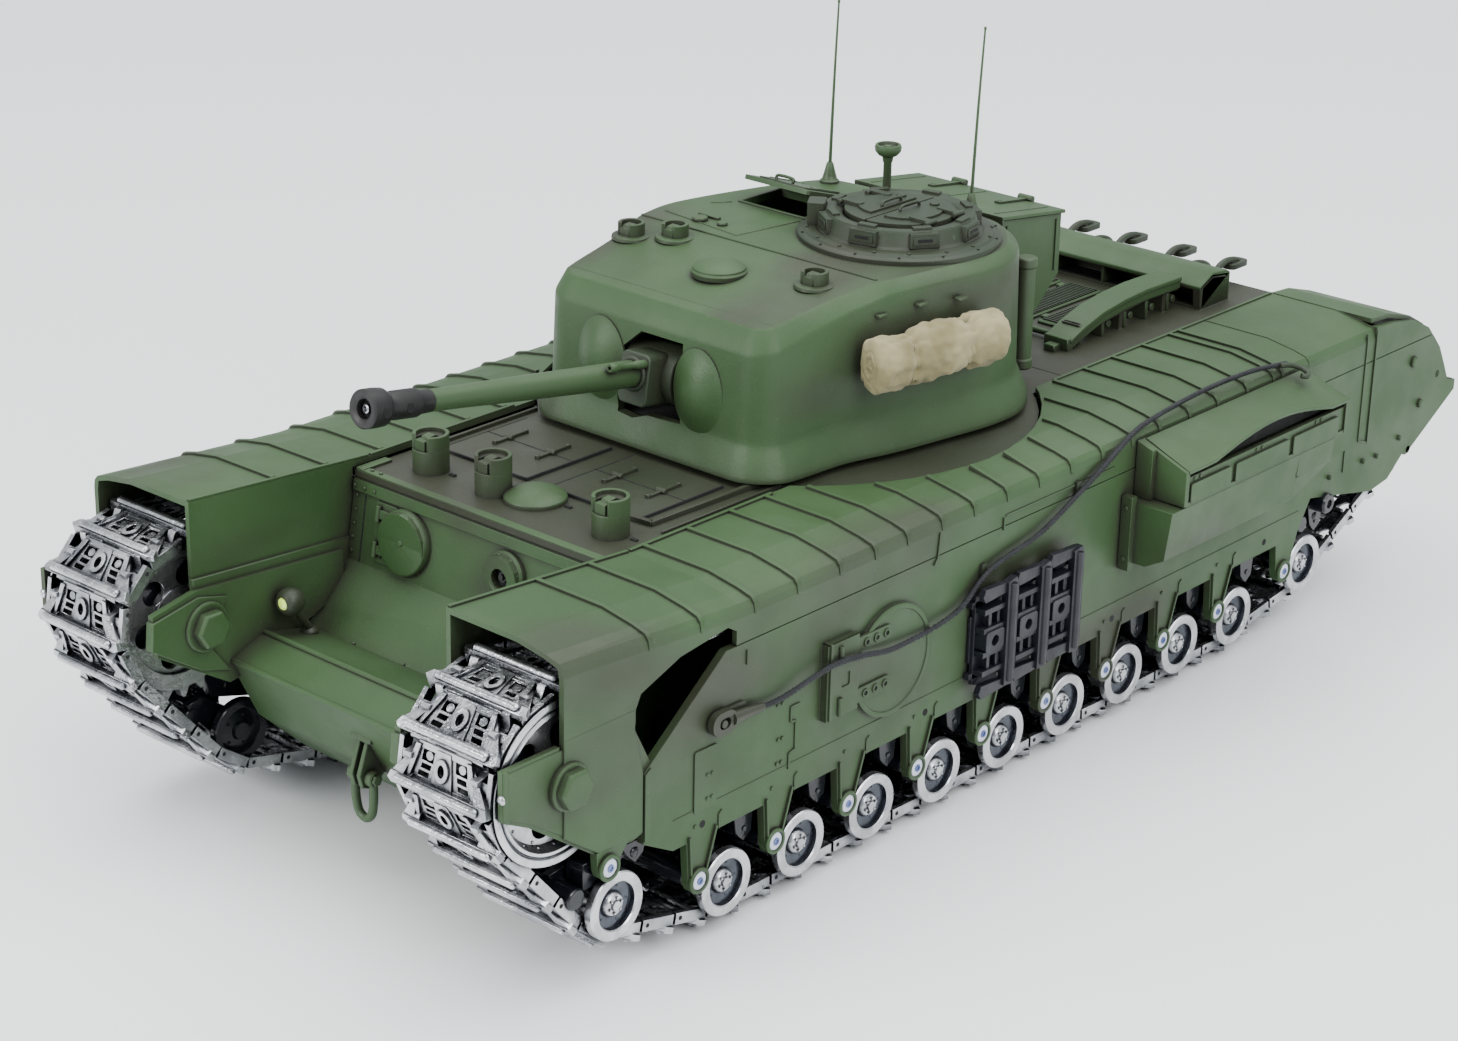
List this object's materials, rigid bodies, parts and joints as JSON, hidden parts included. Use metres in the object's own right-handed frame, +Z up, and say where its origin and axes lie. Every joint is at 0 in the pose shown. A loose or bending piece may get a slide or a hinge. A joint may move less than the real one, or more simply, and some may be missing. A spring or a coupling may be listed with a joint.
{
  "type": "rc tank",
  "caption": "Radio-controlled model tank with turning turret, elevating gun, toothed wheels in metal tracks, opening hatches and a stowage bin.",
  "frame": {"origin": "centre of the footprint at ground level, under the middle of the length", "axes": "+Z up, -Y towards the bow, +X to the tank's left"},
  "size_m": [0.214, 0.4536, 0.201],
  "materials": {
    "paint": "matte green with brown shading",
    "steel": "satin",
    "track": "bright cast",
    "black": "gloss",
    "gunmetal": "satin",
    "canvas": "matte",
    "rope": "matte",
    "board": "satin",
    "lens": "clear"
  },
  "bodies": {
    "hull": {"hull_tub": "paint", "hull_roof": "paint", "engine_deck": "paint", "side_plate_left": "paint", "side_plate_right": "paint", "track_guard_left": "paint", "track_guard_right": "paint", "air_louvre_left": "paint", "air_louvre_right": "paint", "suspension_left": "black", "suspension_right": "black", "track_left": "track", "track_right": "track", "headlight": "paint", "tow_cable": "rope", "spare_links": "black", "battery": "black", "gearbox_left": "gunmetal", "gearbox_right": "gunmetal", "control_board": "board"},
    "turret": {"turret_shell": "paint", "cupola_ring": "paint", "turret_bin": "paint", "tarp_roll_left": "canvas", "tarp_roll_right": "canvas", "antenna_left": "paint", "antenna_right": "paint"},
    "gun": {"mantlet": "gunmetal", "gun_barrel": "paint"},
    "cupola_leaf_left": {"cupola_leaf_left": "paint"},
    "cupola_leaf_right": {"cupola_leaf_right": "paint"},
    "loader_hatch": {"loader_hatch": "paint"},
    "bin_lid": {"bin_lid": "paint"},
    "tow_shackle": {"tow_shackle": "paint"},
    "sprocket_left": {"sprocket_left": "steel"},
    "idler_left": {"idler_left": "steel"},
    "road_wheel_left_01": {"road_wheel_left_01": "steel"},
    "road_wheel_left_02": {"road_wheel_left_02": "steel"},
    "road_wheel_left_03": {"road_wheel_left_03": "steel"},
    "road_wheel_left_04": {"road_wheel_left_04": "steel"},
    "road_wheel_left_05": {"road_wheel_left_05": "steel"},
    "road_wheel_left_06": {"road_wheel_left_06": "steel"},
    "road_wheel_left_07": {"road_wheel_left_07": "steel"},
    "road_wheel_left_08": {"road_wheel_left_08": "steel"},
    "road_wheel_left_09": {"road_wheel_left_09": "steel"},
    "road_wheel_left_10": {"road_wheel_left_10": "steel"},
    "road_wheel_left_11": {"road_wheel_left_11": "steel"},
    "sprocket_right": {"sprocket_right": "steel"},
    "idler_right": {"idler_right": "steel"},
    "road_wheel_right_01": {"road_wheel_right_01": "steel"},
    "road_wheel_right_02": {"road_wheel_right_02": "steel"},
    "road_wheel_right_03": {"road_wheel_right_03": "steel"},
    "road_wheel_right_04": {"road_wheel_right_04": "steel"},
    "road_wheel_right_05": {"road_wheel_right_05": "steel"},
    "road_wheel_right_06": {"road_wheel_right_06": "steel"},
    "road_wheel_right_07": {"road_wheel_right_07": "steel"},
    "road_wheel_right_08": {"road_wheel_right_08": "steel"},
    "road_wheel_right_09": {"road_wheel_right_09": "steel"},
    "road_wheel_right_10": {"road_wheel_right_10": "steel"},
    "road_wheel_right_11": {"road_wheel_right_11": "steel"}
  },
  "joints": [
    {"name": "turret_turn", "type": "hinge", "parent": "hull", "child": "turret", "pos_m": [0, -0.015, 0.095], "axis": [0, 0, 1], "continuous": true},
    {"name": "gun_elevation", "type": "hinge", "parent": "turret", "child": "gun", "pos_m": [-0.001, -0.068, 0.1154], "axis": [-1, 0, 0], "range_deg": [-12.8, 6.2]},
    {"name": "cupola_leaf_left_hinge", "type": "hinge", "parent": "turret", "child": "cupola_leaf_left", "pos_m": [0.0377, 0.008, 0.1526], "axis": [0, 1, 0], "range_deg": [0, 110]},
    {"name": "cupola_leaf_right_hinge", "type": "hinge", "parent": "turret", "child": "cupola_leaf_right", "pos_m": [0.0053, 0.008, 0.1526], "axis": [0, -1, 0], "range_deg": [0, 110]},
    {"name": "loader_hatch_hinge", "type": "hinge", "parent": "turret", "child": "loader_hatch", "pos_m": [-0.022, 0.0215, 0.145], "axis": [-1, 0, 0], "range_deg": [-16, 73]},
    {"name": "bin_lid_hinge", "type": "hinge", "parent": "turret", "child": "bin_lid", "pos_m": [0, 0.0802, 0.1388], "axis": [-1, 0, 0], "range_deg": [0, 95]},
    {"name": "tow_shackle_swing", "type": "hinge", "parent": "hull", "child": "tow_shackle", "pos_m": [0, -0.186, 0.031], "axis": [-1, 0, 0], "range_deg": [-40, 120]},
    {"name": "sprocket_left_spin", "type": "hinge", "parent": "hull", "child": "sprocket_left", "pos_m": [0.07, 0.1885, 0.0605], "axis": [1, 0, 0], "continuous": true},
    {"name": "idler_left_spin", "type": "hinge", "parent": "hull", "child": "idler_left", "pos_m": [0.07, -0.2, 0.0645], "axis": [1, 0, 0], "continuous": true},
    {"name": "road_wheel_left_01_spin", "type": "hinge", "parent": "hull", "child": "road_wheel_left_01", "pos_m": [0.07, -0.1817, 0.0237], "axis": [1, 0, 0], "continuous": true},
    {"name": "road_wheel_left_02_spin", "type": "hinge", "parent": "hull", "child": "road_wheel_left_02", "pos_m": [0.07, -0.14, 0.014], "axis": [1, 0, 0], "continuous": true},
    {"name": "road_wheel_left_03_spin", "type": "hinge", "parent": "hull", "child": "road_wheel_left_03", "pos_m": [0.07, -0.11, 0.014], "axis": [1, 0, 0], "continuous": true},
    {"name": "road_wheel_left_04_spin", "type": "hinge", "parent": "hull", "child": "road_wheel_left_04", "pos_m": [0.07, -0.08, 0.014], "axis": [1, 0, 0], "continuous": true},
    {"name": "road_wheel_left_05_spin", "type": "hinge", "parent": "hull", "child": "road_wheel_left_05", "pos_m": [0.07, -0.05, 0.014], "axis": [1, 0, 0], "continuous": true},
    {"name": "road_wheel_left_06_spin", "type": "hinge", "parent": "hull", "child": "road_wheel_left_06", "pos_m": [0.07, -0.02, 0.014], "axis": [1, 0, 0], "continuous": true},
    {"name": "road_wheel_left_07_spin", "type": "hinge", "parent": "hull", "child": "road_wheel_left_07", "pos_m": [0.07, 0.01, 0.014], "axis": [1, 0, 0], "continuous": true},
    {"name": "road_wheel_left_08_spin", "type": "hinge", "parent": "hull", "child": "road_wheel_left_08", "pos_m": [0.07, 0.04, 0.014], "axis": [1, 0, 0], "continuous": true},
    {"name": "road_wheel_left_09_spin", "type": "hinge", "parent": "hull", "child": "road_wheel_left_09", "pos_m": [0.07, 0.07, 0.014], "axis": [1, 0, 0], "continuous": true},
    {"name": "road_wheel_left_10_spin", "type": "hinge", "parent": "hull", "child": "road_wheel_left_10", "pos_m": [0.07, 0.1, 0.014], "axis": [1, 0, 0], "continuous": true},
    {"name": "road_wheel_left_11_spin", "type": "hinge", "parent": "hull", "child": "road_wheel_left_11", "pos_m": [0.07, 0.1395, 0.0201], "axis": [1, 0, 0], "continuous": true},
    {"name": "sprocket_right_spin", "type": "hinge", "parent": "hull", "child": "sprocket_right", "pos_m": [-0.07, 0.1885, 0.0605], "axis": [1, 0, 0], "continuous": true},
    {"name": "idler_right_spin", "type": "hinge", "parent": "hull", "child": "idler_right", "pos_m": [-0.07, -0.2, 0.0645], "axis": [1, 0, 0], "continuous": true},
    {"name": "road_wheel_right_01_spin", "type": "hinge", "parent": "hull", "child": "road_wheel_right_01", "pos_m": [-0.07, -0.1817, 0.0237], "axis": [1, 0, 0], "continuous": true},
    {"name": "road_wheel_right_02_spin", "type": "hinge", "parent": "hull", "child": "road_wheel_right_02", "pos_m": [-0.07, -0.14, 0.014], "axis": [1, 0, 0], "continuous": true},
    {"name": "road_wheel_right_03_spin", "type": "hinge", "parent": "hull", "child": "road_wheel_right_03", "pos_m": [-0.07, -0.11, 0.014], "axis": [1, 0, 0], "continuous": true},
    {"name": "road_wheel_right_04_spin", "type": "hinge", "parent": "hull", "child": "road_wheel_right_04", "pos_m": [-0.07, -0.08, 0.014], "axis": [1, 0, 0], "continuous": true},
    {"name": "road_wheel_right_05_spin", "type": "hinge", "parent": "hull", "child": "road_wheel_right_05", "pos_m": [-0.07, -0.05, 0.014], "axis": [1, 0, 0], "continuous": true},
    {"name": "road_wheel_right_06_spin", "type": "hinge", "parent": "hull", "child": "road_wheel_right_06", "pos_m": [-0.07, -0.02, 0.014], "axis": [1, 0, 0], "continuous": true},
    {"name": "road_wheel_right_07_spin", "type": "hinge", "parent": "hull", "child": "road_wheel_right_07", "pos_m": [-0.07, 0.01, 0.014], "axis": [1, 0, 0], "continuous": true},
    {"name": "road_wheel_right_08_spin", "type": "hinge", "parent": "hull", "child": "road_wheel_right_08", "pos_m": [-0.07, 0.04, 0.014], "axis": [1, 0, 0], "continuous": true},
    {"name": "road_wheel_right_09_spin", "type": "hinge", "parent": "hull", "child": "road_wheel_right_09", "pos_m": [-0.07, 0.07, 0.014], "axis": [1, 0, 0], "continuous": true},
    {"name": "road_wheel_right_10_spin", "type": "hinge", "parent": "hull", "child": "road_wheel_right_10", "pos_m": [-0.07, 0.1, 0.014], "axis": [1, 0, 0], "continuous": true},
    {"name": "road_wheel_right_11_spin", "type": "hinge", "parent": "hull", "child": "road_wheel_right_11", "pos_m": [-0.07, 0.1395, 0.0201], "axis": [1, 0, 0], "continuous": true}
  ],
  "couplings": [
    {"joint": "idler_left_spin", "follows": "sprocket_left_spin", "ratio": 1},
    {"joint": "road_wheel_left_01_spin", "follows": "sprocket_left_spin", "ratio": 2.52},
    {"joint": "road_wheel_left_02_spin", "follows": "sprocket_left_spin", "ratio": 2.52},
    {"joint": "road_wheel_left_03_spin", "follows": "sprocket_left_spin", "ratio": 2.52},
    {"joint": "road_wheel_left_04_spin", "follows": "sprocket_left_spin", "ratio": 2.52},
    {"joint": "road_wheel_left_05_spin", "follows": "sprocket_left_spin", "ratio": 2.52},
    {"joint": "road_wheel_left_06_spin", "follows": "sprocket_left_spin", "ratio": 2.52},
    {"joint": "road_wheel_left_07_spin", "follows": "sprocket_left_spin", "ratio": 2.52},
    {"joint": "road_wheel_left_08_spin", "follows": "sprocket_left_spin", "ratio": 2.52},
    {"joint": "road_wheel_left_09_spin", "follows": "sprocket_left_spin", "ratio": 2.52},
    {"joint": "road_wheel_left_10_spin", "follows": "sprocket_left_spin", "ratio": 2.52},
    {"joint": "road_wheel_left_11_spin", "follows": "sprocket_left_spin", "ratio": 2.52},
    {"joint": "idler_right_spin", "follows": "sprocket_right_spin", "ratio": 1},
    {"joint": "road_wheel_right_01_spin", "follows": "sprocket_right_spin", "ratio": 2.52},
    {"joint": "road_wheel_right_02_spin", "follows": "sprocket_right_spin", "ratio": 2.52},
    {"joint": "road_wheel_right_03_spin", "follows": "sprocket_right_spin", "ratio": 2.52},
    {"joint": "road_wheel_right_04_spin", "follows": "sprocket_right_spin", "ratio": 2.52},
    {"joint": "road_wheel_right_05_spin", "follows": "sprocket_right_spin", "ratio": 2.52},
    {"joint": "road_wheel_right_06_spin", "follows": "sprocket_right_spin", "ratio": 2.52},
    {"joint": "road_wheel_right_07_spin", "follows": "sprocket_right_spin", "ratio": 2.52},
    {"joint": "road_wheel_right_08_spin", "follows": "sprocket_right_spin", "ratio": 2.52},
    {"joint": "road_wheel_right_09_spin", "follows": "sprocket_right_spin", "ratio": 2.52},
    {"joint": "road_wheel_right_10_spin", "follows": "sprocket_right_spin", "ratio": 2.52},
    {"joint": "road_wheel_right_11_spin", "follows": "sprocket_right_spin", "ratio": 2.52}
  ]
}
